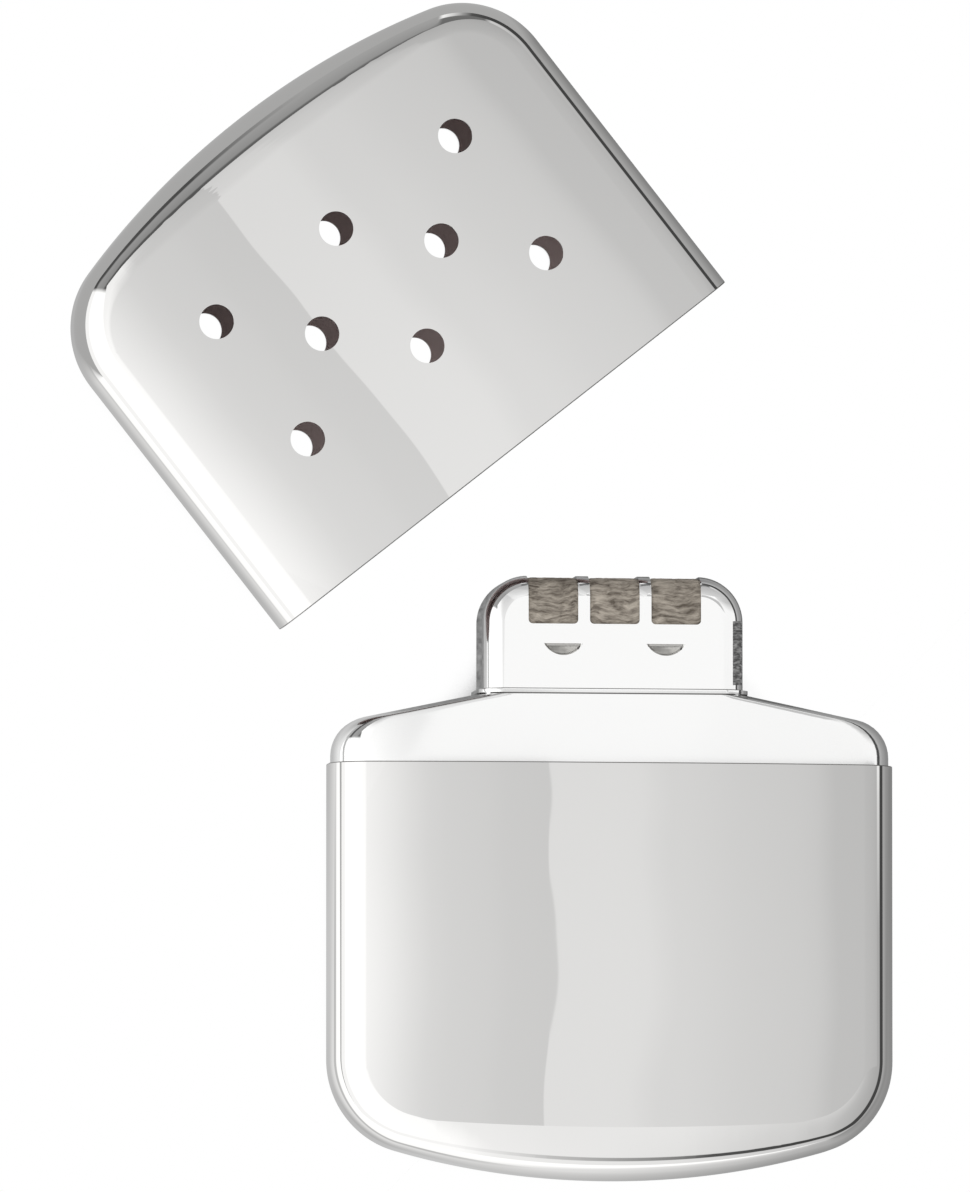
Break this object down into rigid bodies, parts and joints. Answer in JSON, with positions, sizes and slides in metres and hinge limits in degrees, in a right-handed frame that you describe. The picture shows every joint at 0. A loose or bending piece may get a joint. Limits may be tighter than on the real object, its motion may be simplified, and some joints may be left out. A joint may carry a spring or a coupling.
{
  "type": "catalytic hand warmer",
  "caption": "Flat oval pocket warmer: drawn tank with sloped shoulder, windowed catalyst burner on an oval neck, and a vented push-on cap laid beside it.",
  "frame": {"origin": "middle of the tank's flat back, where the warmer rests when it lies on its back", "axes": "+X across the case, +Y along the tank towards the burner, +Z out of the front face"},
  "size_m": [0.0974, 0.1391, 0.014],
  "materials": {
    "polished_case": "mirror polished plate",
    "polished_shoulder": "mirror polished plate",
    "plated_burner": "bright plated, formed",
    "plated_neck": "plain plated",
    "bare_steel": "plain",
    "catalyst_fibre": "matted glass fibre",
    "cotton": "loose cotton",
    "felt": "pressed felt"
  },
  "bodies": {
    "tank": {"tank_shell": "polished_case", "tank_shoulder": "polished_shoulder", "filler_neck": "plated_neck", "cotton_wadding": "cotton", "felt_pad": "felt"},
    "cap": {"cap_shell": "polished_case"},
    "burner": {"burner_housing": "plated_burner", "burner_sleeve": "plated_neck", "catalyst_mat": "catalyst_fibre", "catalyst_saddle": "bare_steel"}
  },
  "joints": [
    {"name": "cap_swing", "type": "hinge", "parent": "tank", "child": "cap", "pos_m": [-0.059, 0.02455, 0.007], "axis": [0, 0, 1], "range_deg": [-38.2, 0]},
    {"name": "burner_lift", "type": "slide", "parent": "tank", "child": "burner", "axis": [0, 1, 0], "range_m": [0, 0.012]}
  ]
}
